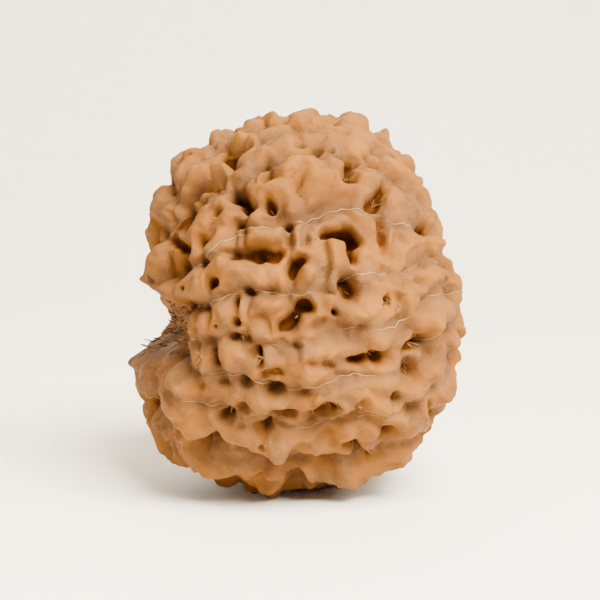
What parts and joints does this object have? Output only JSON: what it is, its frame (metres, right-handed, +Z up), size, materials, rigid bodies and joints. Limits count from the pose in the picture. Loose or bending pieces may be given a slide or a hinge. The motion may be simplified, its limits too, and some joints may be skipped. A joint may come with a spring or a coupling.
{
  "type": "rudraksha seed",
  "caption": "Squat woody stone with seams from stem end to tip, rounded ridges and knobs, dark pits and slots, a notched stem end, lying on a small flat spot.",
  "frame": {"origin": "on the flat spot that the stone rests on, straight below the middle of the stone", "axes": "+X from the notched stem end to the tip, +Z up from the flat spot, +Y away from the side that the picture shows"},
  "size_m": [0.0294, 0.0353, 0.0341],
  "materials": {
    "seed_shell": "smooth tan-brown woody stone with a soft waxy sheen, darker in the pits and greyer along the seams"
  },
  "bodies": {
    "root": {"rudraksha_seed": "seed_shell"}
  },
  "joints": []
}
